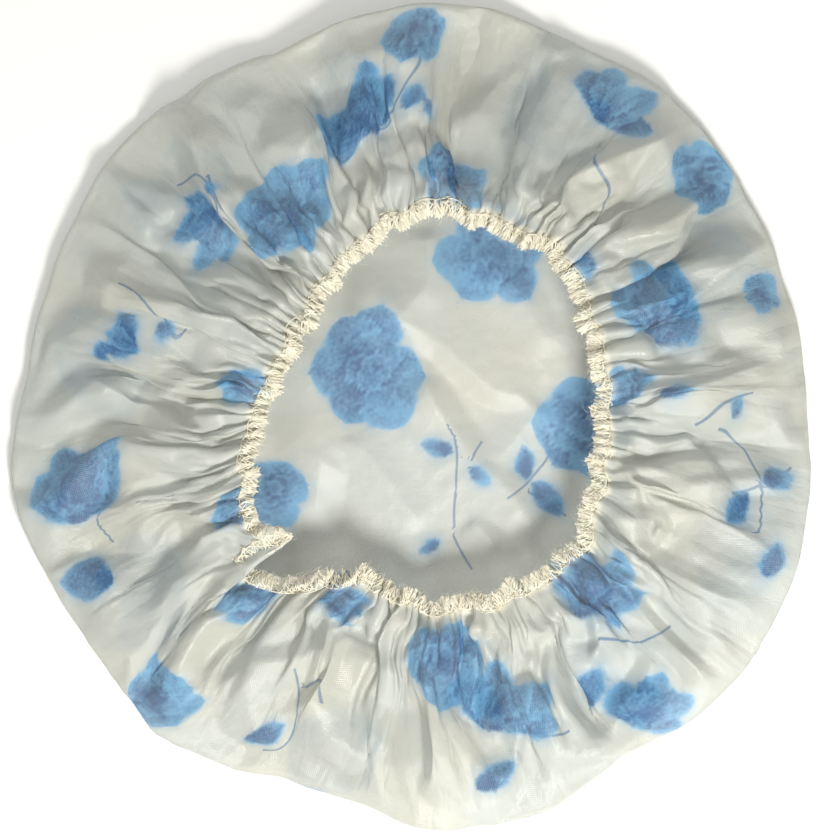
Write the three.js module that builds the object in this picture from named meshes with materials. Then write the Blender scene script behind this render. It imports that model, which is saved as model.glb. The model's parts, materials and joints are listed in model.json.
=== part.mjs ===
// A bath cap of thin printed sheet, lying on its crown with its gathered mouth upwards.
// One round sheet is folded up and inwards all round, and an elastic band is overlocked along its edge:
// the relaxed band draws the edge in, so that the sheet stands in gathers round the mouth.
// Millimetres, +Z up. The origin is on the table, under the middle of the crown.
import * as THREE from "three";

// Sheet sizes
const FOLD_RADIUS = 142; // from the middle of the crown to the outer fold, on average
const FOLD_LOOP = 9; // height of the loop that the sheet makes at the outer fold
const FOLD_ROUNDING = 5; // how far the loop's shoulders stand back from its tip
const FOLD_RUN_UP = 12; // from the tip of the loop to where the crown begins to lift
const CROWN_LIFT = 1.2; // height of the crown where it begins to lift
const CROWN_MARGIN = 34; // from the outer fold to the part of the crown that lies flat
const CROWN_MIDDLE = 50; // radius of the innermost ring of the crown
const SHEET_WALL = 0.8; // the film itself is about 0.1, and is thickened here to stay a solid
const SKIRT_PUFF = 1.5; // how far the skirt stands above a straight slope between fold and hem

// Hem sizes
const HEM_RADIUS = 60; // radius of the mouth, on average
const HEM_CENTRE = new THREE.Vector2(6, 1.5); // the mouth lies a little off the middle of the crown
const HEM_HEIGHT = 20; // height of the sheet's edge above the table
const HEM_SLOPE = 20; // degrees that the hem falls towards the mouth, below the gathers round it
const NEEDLE_MARGIN = 2.2; // flat sheet outside the needle line, before the gathers begin
const ELASTIC_WIDTH = 4;
const ELASTIC_THICKNESS = 1.2;
const ELASTIC_CHAMFER = 0.4;
const ELASTIC_MARGIN = 1; // from the needle line to the elastic
const ELASTIC_INSET = 1; // from the elastic to the sheet's edge
const THREAD_DIAMETER = 0.7;
const CLEARANCE = 0.3; // between pieces that lie on each other

// Folds
const GATHERS = 28; // small pleats that the elastic draws in round the mouth
const GATHER_DEPTH = 7; // from the top of a pleat to its bottom, where it is deepest
const MAIN_FOLDS = [
  // broad folds of the skirt: how many go round, their half height, and the angle of the first, in degrees
  { count: 5, height: 2.2, start: 40 },
  { count: 9, height: 1.8, start: 12 },
];
const SKIRT_RINGS = [
  // from the outer fold to the hem: the share of the way, and the shares of the gathers and broad folds there
  { share: 0.33, gathers: 0.7, folds: 1 },
  { share: 0.6, gathers: 1, folds: 0.8 },
  { share: 0.85, gathers: 0.8, folds: 0.2 },
  { share: 1, gathers: 0, folds: 0 },
];
const STITCHES = 84; // overlock stitches round the hem
const STITCH_TURN = 0.16; // share of a stitch that a looper thread takes to turn round

// The outer fold is a polygon with soft corners: each corner's angle in degrees, and how far it lies
// outside the average radius.
const FOLD_CORNERS = [
  [0, -1], [20, -0.8], [35, 1.7], [50, 4.4], [65, 2.2], [80, 5.1], [92, 3.5], [110, -4.5],
  [130, -2], [140, -2], [152, -5.5], [172, -6.5], [190, 1.6], [208, -3], [220, -3.5], [230, 0.9],
  [240, -1], [252, -6.5], [262, -4], [272, 4], [290, 5.5], [300, 0.6], [320, 6.4], [340, 4.8],
];
// The relaxed elastic lies in a wavy ring: the same, about the middle of the mouth.
const HEM_BENDS = [
  [0, -2], [28, 0], [50, 8], [68, 5], [88, 8], [106, 0], [122, -6], [142, -12],
  [164, -11], [184, -5], [202, 3], [211, 9], [218, 7], [226, 18], [233, 13], [240, 1],
  [250, -3], [270, 4], [300, 6], [318, 8], [330, 2], [345, -1],
];

// Radius offset at an angle, straight between the listed corners.
function ringOffset(corners, degrees) {
  const next = corners.findIndex(([angle]) => angle > degrees);
  const after = next < 0 ? [corners[0][0] + 360, corners[0][1]] : corners[next];
  const before = corners[(next < 0 ? corners.length : next) - 1];
  const share = (degrees - before[0]) / (after[0] - before[0]);
  return THREE.MathUtils.lerp(before[1], after[1], share);
}

// Every ring of the sheet has a point at the top and one at the bottom of each gather.
const SEGMENTS = 2 * GATHERS;
const SPOKES = Array.from({ length: SEGMENTS }, (_, i) => {
  const degrees = (360 * i) / SEGMENTS;
  const angle = THREE.MathUtils.degToRad(degrees);
  const out = new THREE.Vector2(Math.cos(angle), Math.sin(angle));
  const fold = FOLD_RADIUS + ringOffset(FOLD_CORNERS, degrees);
  const hem = HEM_RADIUS + ringOffset(HEM_BENDS, degrees);
  return {
    degrees,
    out,
    fold: out.clone().multiplyScalar(fold),
    hem: out.clone().multiplyScalar(hem).add(HEM_CENTRE),
    gather: i % 2 ? -1 : 1,
  };
});

// Height of the broad folds at an angle.
function mainFolds(degrees) {
  return MAIN_FOLDS.reduce(
    (sum, { count, height, start }) =>
      sum + height * Math.cos(THREE.MathUtils.degToRad(count * (degrees - start))),
    0,
  );
}

// The sheet's outer face as stations from the middle of the crown, round the outer fold, to the edge at the
// mouth. Each gives its point on a spoke, before the folds, and its share of the gathers and broad folds.
const hemSlope = THREE.MathUtils.degToRad(HEM_SLOPE);
const hemWidth = ELASTIC_MARGIN + ELASTIC_WIDTH + ELASTIC_INSET; // from the needle line to the edge
const hemBand = NEEDLE_MARGIN + hemWidth;
const hemBandStart = HEM_HEIGHT + hemBand * Math.sin(hemSlope);
const hemBandReach = hemBand * Math.cos(hemSlope);

function foldStation(inset, z) {
  return {
    at: ({ fold, out }) => fold.clone().addScaledVector(out, -inset),
    z,
    gathers: 0,
    folds: 0,
  };
}

function skirtStation({ share, gathers, folds }) {
  const puff = SKIRT_PUFF * Math.sin(Math.PI * share);
  return {
    at: ({ fold, hem, out }) => {
      const bandStart = hem.clone().addScaledVector(out, hemBandReach);
      const shoulder = fold.clone().addScaledVector(out, -FOLD_ROUNDING);
      return shoulder.lerp(bandStart, share);
    },
    z: THREE.MathUtils.lerp(FOLD_LOOP, hemBandStart, share) + puff,
    gathers,
    folds,
  };
}

const STATIONS = [
  { at: ({ out }) => out.clone().multiplyScalar(CROWN_MIDDLE), z: 0, gathers: 0, folds: 0 },
  foldStation(CROWN_MARGIN, 0),
  foldStation(FOLD_RUN_UP, CROWN_LIFT),
  foldStation(FOLD_ROUNDING, FOLD_LOOP / 4),
  foldStation(0, FOLD_LOOP / 2),
  foldStation(FOLD_ROUNDING, FOLD_LOOP),
  ...SKIRT_RINGS.map(skirtStation),
  { at: ({ hem }) => hem.clone(), z: HEM_HEIGHT, gathers: 0, folds: 0 },
];

// Direction from the sheet's outer face to its inner face between a station and the next, as a share outwards
// and a share upwards. It is the same all round, so that the inner face never crosses the outer one.
function inwardAfter(k) {
  const spoke = SPOKES[0];
  const from = STATIONS[k];
  const to = STATIONS[k + 1];
  const run = to.at(spoke).dot(spoke.out) - from.at(spoke).dot(spoke.out);
  return new THREE.Vector2(-(to.z - from.z), run).normalize();
}

// The same at a station: the mitre of the stretches that meet there, so that the wall is even round the fold.
function inwardAt(k) {
  const before = inwardAfter(Math.max(k - 1, 0));
  const after = inwardAfter(Math.min(k, STATIONS.length - 2));
  return before.clone().add(after).divideScalar(1 + before.dot(after));
}

// A point of the sheet at a station and a spoke, some depth in from the outer face.
function sheetPoint(k, spoke, depth) {
  const { at, z, gathers, folds } = STATIONS[k];
  const lift = (gathers * spoke.gather * GATHER_DEPTH) / 2 + folds * mainFolds(spoke.degrees);
  const inward = inwardAt(k).multiplyScalar(depth);
  const flat = at(spoke).addScaledVector(spoke.out, inward.x);
  return new THREE.Vector3(flat.x, flat.y, z + lift + inward.y);
}

// A closed solid skinned over rings of equally many points. The rings run on from each other, each ring
// turns clockwise as seen from the last one, and the ends are closed by a fan unless the rings join up. The
// faces between the rings from wayBack on are split the other way, so that both sides of a wall have the
// same creases.
function skin(rings, joined = false, wayBack = rings.length) {
  const points = rings.flat();
  const around = rings[0].length;
  const index = [];
  const spans = joined ? rings.length : rings.length - 1;
  for (let k = 0; k < spans; k++) {
    for (let i = 0; i < around; i++) {
      const next = (i + 1) % around;
      const low = k * around;
      const high = ((k + 1) % rings.length) * around;
      if (k < wayBack) {
        index.push(low + i, low + next, high + next, low + i, high + next, high + i);
      } else {
        index.push(low + i, low + next, high + i, low + next, high + next, high + i);
      }
    }
  }
  if (!joined) {
    const centreOf = (ring) =>
      ring.reduce((sum, p) => sum.add(p), new THREE.Vector3()).divideScalar(around);
    const last = (rings.length - 1) * around;
    const start = points.push(centreOf(rings[0])) - 1;
    const end = points.push(centreOf(rings[rings.length - 1])) - 1;
    for (let i = 0; i < around; i++) {
      const next = (i + 1) % around;
      index.push(start, next, i, end, last + i, last + next);
    }
  }
  const geometry = new THREE.BufferGeometry().setFromPoints(points);
  geometry.setIndex(index);
  geometry.computeVertexNormals();
  return geometry;
}

// The sheet: out over the outer face to the mouth, and back over the inner face to the crown.
function sheetGeometry() {
  const ringAt = (k, depth) => SPOKES.map((spoke) => sheetPoint(k, spoke, depth));
  const outer = STATIONS.map((_, k) => ringAt(k, 0));
  const inner = STATIONS.map((_, k) => ringAt(k, SHEET_WALL)).reverse();
  return skin([...outer, ...inner], false, outer.length);
}

// A place on the hem: turn counts spokes, across runs from the needle line to the mouth, and above is the
// height over the sheet's outer face.
const BAND = STATIONS.length - 2;
const hemUp = inwardAfter(BAND).negate();

function hemPoint(turn, across, above) {
  const i = Math.floor(turn);
  const corner = (k, n) => sheetPoint(k, SPOKES[n % SEGMENTS], 0);
  const along = (k) => corner(k, i).lerp(corner(k, i + 1), turn - i);
  const out = SPOKES[i % SEGMENTS].out.clone().lerp(SPOKES[(i + 1) % SEGMENTS].out, turn - i);
  const start = along(BAND);
  const edge = along(BAND + 1);
  const place = start.lerp(edge, (across + NEEDLE_MARGIN) / hemBand);
  return place.add(new THREE.Vector3(out.x * hemUp.x, out.y * hemUp.x, hemUp.y).multiplyScalar(above));
}

// The elastic: a flat band with chamfered corners, under the sheet's edge.
function elasticGeometry() {
  const top = -SHEET_WALL - CLEARANCE;
  const bottom = top - ELASTIC_THICKNESS;
  const outer = ELASTIC_MARGIN;
  const inner = outer + ELASTIC_WIDTH;
  const cut = ELASTIC_CHAMFER;
  const section = [
    [outer, top - cut], [outer, bottom + cut], [outer + cut, bottom], [inner - cut, bottom],
    [inner, bottom + cut], [inner, top - cut], [inner - cut, top], [outer + cut, top],
  ];
  const rings = SPOKES.map((_, i) => section.map(([across, above]) => hemPoint(i, across, above)));
  return skin(rings, true);
}

// A thread: a round tube with few sides along places on the hem.
const THREAD_SIDES = 4;
function threadGeometry(path) {
  const points = path.map((place) => hemPoint(...place));
  const up = new THREE.Vector3(0, 0, 1);
  const rings = points.map((point, i) => {
    const ahead = points[Math.min(i + 1, points.length - 1)];
    const behind = points[Math.max(i - 1, 0)];
    const along = ahead.clone().sub(behind).normalize();
    const side = along.clone().cross(up).normalize();
    const over = along.clone().cross(side);
    return Array.from({ length: THREAD_SIDES }, (_, n) => {
      const angle = (2 * Math.PI * (n + 0.5)) / THREAD_SIDES;
      return point
        .clone()
        .addScaledVector(side, (Math.cos(angle) * THREAD_DIAMETER) / 2)
        .addScaledVector(over, (Math.sin(angle) * THREAD_DIAMETER) / 2);
    });
  });
  return { geometry: skin(rings), points };
}

// Where the threads run. Both looper threads go to and fro between the needle line and the mouth, the upper
// one over the sheet and the lower one under the elastic, and their turns at the mouth alternate.
const threadRadius = THREAD_DIAMETER / 2;
const overSheet = CLEARANCE + threadRadius;
const underSheet = -SHEET_WALL - CLEARANCE - threadRadius;
const underElastic = underSheet - ELASTIC_THICKNESS - CLEARANCE;
const pastEdge = hemWidth + CLEARANCE + threadRadius;
const stitch = SEGMENTS / STITCHES; // spokes per stitch

function upperLooperPath() {
  const path = [];
  for (let i = 0; i < STITCHES - 1; i++) {
    path.push([(i + STITCH_TURN) * stitch, 0, overSheet]);
    path.push([(i + 0.5 - STITCH_TURN) * stitch, hemWidth, overSheet]);
    path.push([(i + 0.5) * stitch, pastEdge, overSheet / 2]);
    path.push([(i + 0.5 + STITCH_TURN) * stitch, hemWidth, overSheet]);
    path.push([(i + 1 - STITCH_TURN) * stitch, 0, overSheet]);
  }
  return path;
}

function lowerLooperPath() {
  const clearOfElastic = ELASTIC_MARGIN - CLEARANCE - THREAD_DIAMETER;
  const path = [];
  for (let i = 0; i < STITCHES - 1; i++) {
    const turn = i + 0.5;
    path.push([(turn + STITCH_TURN) * stitch, clearOfElastic, underSheet]);
    path.push([(turn + 2 * STITCH_TURN) * stitch, ELASTIC_MARGIN, underElastic]);
    path.push([(turn + 0.5 - STITCH_TURN) * stitch, hemWidth, underElastic]);
    path.push([(turn + 0.5) * stitch, pastEdge, underElastic / 2]);
    path.push([(turn + 0.5 + STITCH_TURN) * stitch, hemWidth, underElastic]);
    path.push([(turn + 1 - 2 * STITCH_TURN) * stitch, ELASTIC_MARGIN, underElastic]);
    path.push([(turn + 1 - STITCH_TURN) * stitch, clearOfElastic, underSheet]);
  }
  return path;
}

function needlePath() {
  const outside = -THREAD_DIAMETER - CLEARANCE;
  const path = [];
  for (let i = 0; i < STITCHES; i++) {
    path.push([i * stitch, outside, overSheet]);
  }
  return path;
}

// Least gap of a thread to itself, over points that aren't neighbours along it.
function leastGap(points) {
  let least = Infinity;
  for (let i = 0; i < points.length; i++) {
    for (let j = i + 2; j < points.length; j++) {
      least = Math.min(least, points[i].distanceTo(points[j]));
    }
  }
  return least - THREAD_DIAMETER;
}

// Materials
const sheetMaterial = new THREE.MeshStandardMaterial({ color: 0xe4e3da, roughness: 0.42, metalness: 0 });
const elasticMaterial = new THREE.MeshStandardMaterial({ color: 0xf2eee2, roughness: 0.85, metalness: 0 });
const threadMaterial = new THREE.MeshStandardMaterial({ color: 0xe8dfc4, roughness: 0.8, metalness: 0 });

function piece(name, geometry, material) {
  const mesh = new THREE.Mesh(geometry, material);
  mesh.name = name;
  return mesh;
}

const cap = new THREE.Group();
cap.add(piece("cap_sheet", sheetGeometry(), sheetMaterial));
cap.add(piece("elastic_band", elasticGeometry(), elasticMaterial));

const threads = {
  upper_looper_thread: upperLooperPath(),
  lower_looper_thread: lowerLooperPath(),
  needle_thread: needlePath(),
};
for (const [name, path] of Object.entries(threads)) {
  const { geometry, points } = threadGeometry(path);
  console.log(`${name}: least gap to itself ${leastGap(points).toFixed(2)} mm`);
  cap.add(piece(name, geometry, threadMaterial));
}

export default cap;
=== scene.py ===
import json
import math

import bpy
import numpy as np
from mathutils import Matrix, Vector
from mathutils.kdtree import KDTree


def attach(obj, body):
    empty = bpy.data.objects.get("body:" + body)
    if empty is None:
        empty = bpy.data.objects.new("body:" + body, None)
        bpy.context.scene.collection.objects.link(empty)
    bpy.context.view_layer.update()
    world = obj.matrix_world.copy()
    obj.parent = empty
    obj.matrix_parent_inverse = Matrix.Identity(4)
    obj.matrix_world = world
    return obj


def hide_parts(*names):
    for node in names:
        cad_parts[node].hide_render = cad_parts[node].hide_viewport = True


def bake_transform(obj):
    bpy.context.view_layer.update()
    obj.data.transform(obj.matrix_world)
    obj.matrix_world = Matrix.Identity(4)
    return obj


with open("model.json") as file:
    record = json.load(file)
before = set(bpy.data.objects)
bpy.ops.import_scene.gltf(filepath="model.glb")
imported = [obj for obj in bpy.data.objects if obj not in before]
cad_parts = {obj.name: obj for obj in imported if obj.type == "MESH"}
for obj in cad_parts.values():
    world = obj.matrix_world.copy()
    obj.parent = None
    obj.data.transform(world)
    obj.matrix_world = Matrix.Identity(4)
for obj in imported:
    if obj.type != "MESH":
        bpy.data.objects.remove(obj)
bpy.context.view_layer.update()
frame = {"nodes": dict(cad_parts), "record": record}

scene = bpy.context.scene
TAU = 2 * math.pi
MM = 0.001

# Table, light and camera
# A white table under a small near lamp towards the picture's lower edge, a wide weak one towards its upper
# left corner, and an even sky. The camera looks straight down on the middle of the cap.
FRAME_HEIGHT = 292.9 * MM
CAMERA_HEIGHT = 1.5
OUTLINE_HEIGHT = 4 * MM  # height of the cap's outer fold, where the frame is measured
SENSOR = 36.0
TABLE_SIZE = 6.0
TABLE_TOP = -0.2 * MM
TABLE_ROUGHNESS = 0.7
TABLE_COLOUR = (0.88, 0.88, 0.87, 1.0)
SKY_COLOUR = (1.0, 0.985, 0.95, 1.0)
SKY_STRENGTH = 0.56
# each lamp: place, width, power in watts, colour
LAMPS = {
    "key_lamp": ((0.24, -0.62, 0.66), 0.30, 9.0, (1.0, 0.985, 0.94)),
    "fill_lamp": ((-0.9, 0.7, 1.0), 0.9, 4.0, (0.95, 0.98, 1.0)),
}


def add_object(name, data):
    """A new object in the scene."""
    made = bpy.data.objects.new(name, data)
    scene.collection.objects.link(made)
    return made


def new_finish(name):
    """A new material, its nodes, its wires and its main shader."""
    finish = bpy.data.materials.new(name)
    finish.use_nodes = True
    tree = finish.node_tree
    return finish, tree.nodes, tree.links, tree.nodes["Principled BSDF"]


bpy.ops.mesh.primitive_plane_add(size=TABLE_SIZE, location=(0, 0, TABLE_TOP))
table = bpy.context.object
table.name = "table"
table_finish, _, _, table_shader = new_finish("white_table")
table_shader.inputs["Base Color"].default_value = TABLE_COLOUR
table_shader.inputs["Roughness"].default_value = TABLE_ROUGHNESS
table.data.materials.append(table_finish)

for name, (place, width, power, colour) in LAMPS.items():
    lamp = bpy.data.lights.new(name, "AREA")
    lamp.shape = "DISK"
    lamp.size = width
    lamp.energy = power
    lamp.color = colour
    lamp_object = add_object(name, lamp)
    lamp_object.location = place
    lamp_object.rotation_euler = (-Vector(place)).to_track_quat("-Z", "Y").to_euler()

sky = bpy.data.worlds.new("even_sky")
sky.use_nodes = True
sky.node_tree.nodes["Background"].inputs["Color"].default_value = SKY_COLOUR
sky.node_tree.nodes["Background"].inputs["Strength"].default_value = SKY_STRENGTH
scene.world = sky
scene.view_settings.view_transform = "Standard"

camera = bpy.data.cameras.new("camera")
camera.sensor_fit = "VERTICAL"
camera.sensor_height = SENSOR
camera.lens = SENSOR * (CAMERA_HEIGHT - OUTLINE_HEIGHT) / FRAME_HEIGHT
camera_object = add_object("camera", camera)
camera_object.location = (0, 0, CAMERA_HEIGHT)
bpy.context.scene.camera = camera_object

# Cap sheet
# One round cut of thin satin-faced waterproof sheet with a blue flower print. Its edge is drawn in by the
# elastic, so it is folded up and inwards all round and stands in gathers; it is draped here by simulation.
CUT = 230 * MM  # radius of the round cut, on average
TAUT = 0.995  # the cut's share of the way from its middle over the fold to the hem
CUT_MIDDLE = np.array([-10, 0]) * MM  # the cut lies a little off the middle of the crown
SPREAD = 5 * MM  # the drape starts this much wider than the solid's fold, and draws in as it settles
FOLD_TIP = 4 * MM  # height of the fold's outermost line
SHOULDER = 4 * MM  # how far the fold's bend reaches inwards
SKIRT_TOP = 24 * MM
PINNED = 7 * MM  # strip of the cut that the elastic holds
CROWN_GRID = 100 * MM  # the middle of the cut has a square grid out to here
GRID_STEPS = 36
WIDE_RINGS = (163 * MM, 4 * MM, 288)  # out to this radius: their spacing, and the points on each
CLOSE_RINGS = (CUT, 3.2 * MM, 576)
DRAPE_SCALE = 10.0  # the drape is simulated this much larger
DRAPE_FRAMES = 30
PLATE_DROP = (44 * MM, 25 * MM, 20)  # a flat plate comes down on the gathers: from, to, and its last frame
CROWN_HELD = (130 * MM, 0.5)  # the table's hold on the crown: out to here, and how strong
FLOOR_SIZE = 10
PLATE_SIZE = 8


def node_points(node):
    """The points of one of the part's own solids."""
    return np.array([v.co for v in frame["nodes"][node].data.vertices])


def ring_by_angle(points, centre, choose):
    """Radius of a ring of points about a centre, as a function of the angle."""
    apart = points[:, :2] - centre
    spoke = np.round(np.degrees(np.arctan2(apart[:, 1], apart[:, 0])) % 360, 1) % 360
    away = np.hypot(apart[:, 0], apart[:, 1])
    angles = np.unique(spoke)
    radii = np.array([choose(away[spoke == a]) for a in angles])
    return lambda angle: np.interp(np.degrees(angle) % 360, angles, radii, period=360)


def ease(x, low, high):
    """A smooth step from 0 to 1."""
    u = np.clip((x - low) / (high - low), 0, 1)
    return u * u * (3 - 2 * u)


def within(x, begins, full, fades, ends):
    """A smooth step from 0 to 1 and back."""
    return ease(x, begins, full) * (1 - ease(x, fades, ends))


mouth = next(m for m in frame["record"]["mounts"] if m["name"] == "head_opening")
MOUTH_CENTRE = np.array(mouth["pos_m"][:2])
EDGE_HEIGHT = mouth["pos_m"][2]
HEM_SLOPE = math.radians(20)  # the hem falls towards the mouth
EDGE_INSET = 3 * MM  # from the middle of the elastic to the sheet's edge

solid_points = node_points("cap_sheet")
solid_reach = np.hypot(solid_points[:, 0], solid_points[:, 1])
outline_at = ring_by_angle(solid_points[solid_reach > 0.9 * solid_reach.max()], np.zeros(2), np.max)
elastic_at = ring_by_angle(node_points("elastic_band"), MOUTH_CENTRE, np.mean)


around = np.radians(np.arange(720) / 2)


def softened(ring, width):
    """The same ring with its corners rounded over a number of degrees."""
    window = np.hanning(2 * width + 1)
    whole = np.concatenate([ring(around[-width:]), ring(around), ring(around[:width])])
    smooth = np.convolve(whole, window / window.sum(), "valid")
    return lambda angle: np.interp(angle % TAU, around, smooth, period=TAU)


outline_at = softened(outline_at, 3)
elastic_at = softened(elastic_at, 5)

# the drawn-up hem wavers: waves round the mouth, and their half height
EDGE_SWAY = ((23, 0.9 * MM), (38, 0.6 * MM), (67, 0.35 * MM))
EDGE_LIFT = ((9, 0.8 * MM), (26, 0.7 * MM), (44, 0.45 * MM))


def wavering(waves, seed, angle):
    """The sum of a few waves round the mouth."""
    starts = np.random.default_rng(seed).uniform(0, TAU, len(waves))
    return sum(size * np.cos(count * angle + start) for (count, size), start in zip(waves, starts))


# at the lower left the hem curls over into the mouth. Each: place on the hem in degrees, how far it is
# moved round the mouth in degrees, how far out of the mouth in mm, and how far up in mm
CURL = (
    (211, 0, 0, 0), (214, 2, -2, 1), (216.5, 4.5, -4.5, 3), (218.5, 5, -5, 3), (220, 3, -2, 2),
    (221.5, -0.5, 1, 0), (223, -3, 3, -1), (225, -3.5, 4, -1), (228, -1.5, 2, -0.5), (231, 0, 0, 0),
)
CURL_ROUNDING = (-1.0, -0.5, 0.0, 0.5, 1.0)  # degrees over which its corners are rounded
EDGE_STEP = math.radians(1.2)  # the hem's direction is measured over this much to both sides


def curl_at(turn, column):
    """One column of the curl at places on the hem."""
    rows = np.array(CURL).T
    turn = np.degrees(turn) % 360
    return sum(np.interp(turn + d, rows[0], rows[column]) for d in CURL_ROUNDING) / len(CURL_ROUNDING)


def edge_place(turn):
    """Place of the sheet's edge, seen from above."""
    level = elastic_at(turn) - EDGE_INSET * math.cos(HEM_SLOPE)
    away = level + wavering(EDGE_SWAY, 6, turn) + MM * curl_at(turn, 2)
    angle = turn + np.radians(curl_at(turn, 1))
    return MOUTH_CENTRE + np.stack([np.cos(angle), np.sin(angle)], -1) * away[..., None]


def edge_out(turn):
    """Direction square to the sheet's edge, out of the mouth."""
    ahead = edge_place(turn + EDGE_STEP) - edge_place(turn - EDGE_STEP)
    return np.stack([ahead[..., 1], -ahead[..., 0]], -1) / np.linalg.norm(ahead, axis=-1)[..., None]


def edge_height_at(turn):
    return EDGE_HEIGHT + wavering(EDGE_LIFT, 7, turn) + MM * curl_at(turn, 3)


# the flat cut: a square grid at the middle, then rings, as distance from the middle and angle
cut_points = []
grid = {}
for i in range(-GRID_STEPS, GRID_STEPS + 1):
    for j in range(-GRID_STEPS, GRID_STEPS + 1):
        ring = max(abs(i), abs(j))
        angle = 0.0
        if ring and abs(i) >= abs(j):
            angle = math.pi / 4 * j / i + (0 if i > 0 else math.pi)
        elif ring:
            angle = math.pi / 2 - math.pi / 4 * i / j + (0 if j > 0 else math.pi)
        grid[i, j] = len(cut_points)
        cut_points.append((CROWN_GRID * ring / GRID_STEPS, angle % TAU))
cut_faces = [
    (grid[i, j], grid[i + 1, j], grid[i + 1, j + 1], grid[i, j + 1])
    for i in range(-GRID_STEPS, GRID_STEPS)
    for j in range(-GRID_STEPS, GRID_STEPS)
]
rim = [v for (i, j), v in grid.items() if max(abs(i), abs(j)) == GRID_STEPS]
rim.sort(key=lambda v: cut_points[v][1])
rim_radius = CROWN_GRID
for end, spacing, count in (WIDE_RINGS, CLOSE_RINGS):
    rings = round((end - rim_radius) / spacing)
    for n in range(1, rings + 1):
        radius = rim_radius + (end - rim_radius) * n / rings
        ring = list(range(len(cut_points), len(cut_points) + count))
        cut_points += [(radius, TAU * i / count) for i in range(count)]
        for i in range(len(rim)):
            j = (i + 1) % len(rim)
            if len(rim) == count:
                cut_faces.append((rim[i], ring[i], ring[j], rim[j]))
            else:
                a, b, c = ring[2 * i], ring[2 * i + 1], ring[(2 * i + 2) % count]
                cut_faces += [(rim[i], a, b), (rim[i], b, rim[j]), (rim[j], b, c)]
        rim = ring
    rim_radius = end
rho, phi = np.array(cut_points).T

# the line that a spoke of the cut follows before it gathers: over the table, round the fold, up to the hem
SPOKE_TWISTS = ((2, 1.5), (3, 2.0), (5, 1.5), (8, 1.0))  # spokes lean: waves round the cap, and degrees
twist_starts = np.random.default_rng(5).uniform(0, 6.28, len(SPOKE_TWISTS))
CROWN_LINE = ((30 * MM, 0.8 * MM), (13 * MM, 1.0 * MM), (SHOULDER, 0.4 * FOLD_TIP), (0, FOLD_TIP),
              (SHOULDER, FOLD_TIP + 4 * MM))  # distance inside the fold, height
SKIRT_LINE = ((0.2, 0.6 * SKIRT_TOP), (0.45, 0.85 * SKIRT_TOP), (0.75, SKIRT_TOP),
              (0.92, (SKIRT_TOP + EDGE_HEIGHT) / 2))  # share of the way to the hem, height
TIP = 4  # place of the fold's tip on that line
SPOKE_ROUNDING = (-0.02, -0.01, 0, 0.01, 0.02)  # shares of the line over which its corners are rounded
SPOKE_SOFT = (0, 0.3, 0.965, 0.98)  # shares where that begins, is full, fades and ends

fold_line = np.stack([np.cos(around), np.sin(around)], 1) * (outline_at(around) + SPREAD)[:, None]
fold_line -= CUT_MIDDLE
fold_angle = np.arctan2(fold_line[:, 1], fold_line[:, 0])
fold_away = np.hypot(fold_line[:, 0], fold_line[:, 1])


def fold_radius(angle):
    """Distance of the widened fold from the middle of the cut."""
    return np.interp(angle, fold_angle, fold_away, period=TAU)


def spoke_place(angle, share):
    """Place at a share of a spoke, the share at its fold, its turn there and at the hem, and its length."""
    out = np.stack([np.cos(angle), np.sin(angle)], 1)
    fold = CUT_MIDDLE + out * fold_radius(angle)[:, None]
    lean = sum(
        math.radians(size) * np.cos(waves * angle + start)
        for (waves, size), start in zip(SPOKE_TWISTS, twist_starts)
    )
    turn = np.arctan2(fold[:, 1] - MOUTH_CENTRE[1], fold[:, 0] - MOUTH_CENTRE[0]) + lean
    hem = edge_place(turn)
    lift = MM * curl_at(turn, 3)
    stops = [(CUT_MIDDLE + 0 * out, CROWN_LINE[0][1])]
    stops += [(fold - out * inset, height) for inset, height in CROWN_LINE]
    stops += [(fold + (hem - fold) * part, height + lift * part**2) for part, height in SKIRT_LINE]
    stops += [(hem, edge_height_at(turn))]
    line = np.stack([np.column_stack([p, np.broadcast_to(h, len(angle))]) for p, h in stops], 1)
    runs = np.linalg.norm(np.diff(line, axis=1), axis=2)
    reach = np.concatenate([np.zeros((len(angle), 1)), np.cumsum(runs, 1)], 1)
    rows = np.arange(len(angle))

    def at(part):
        x = part * reach[:, -1]
        k = np.clip((reach[:, :-1] <= x[:, None]).sum(1) - 1, 0, line.shape[1] - 2)
        u = ((x - reach[rows, k]) / (reach[rows, k + 1] - reach[rows, k]))[:, None]
        return line[rows, k] * (1 - u) + line[rows, k + 1] * u

    rounded = sum(at(np.clip(share + d, 0, 1)) for d in SPOKE_ROUNDING) / len(SPOKE_ROUNDING)
    soft = within(share, *SPOKE_SOFT)[:, None]
    start = np.arctan2(fold[:, 1], fold[:, 0])
    return rounded * soft + at(share) * (1 - soft), reach[:, TIP] / reach[:, -1], start, turn, reach[:, -1]


spoke_length = softened(lambda angle: spoke_place(angle, 0 * angle)[-1], 24)


def stretch(angle):
    """How much the cut departs from a circle, so that its spokes lie straight between fold and hem."""
    return TAUT * spoke_length(angle) / CUT


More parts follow.
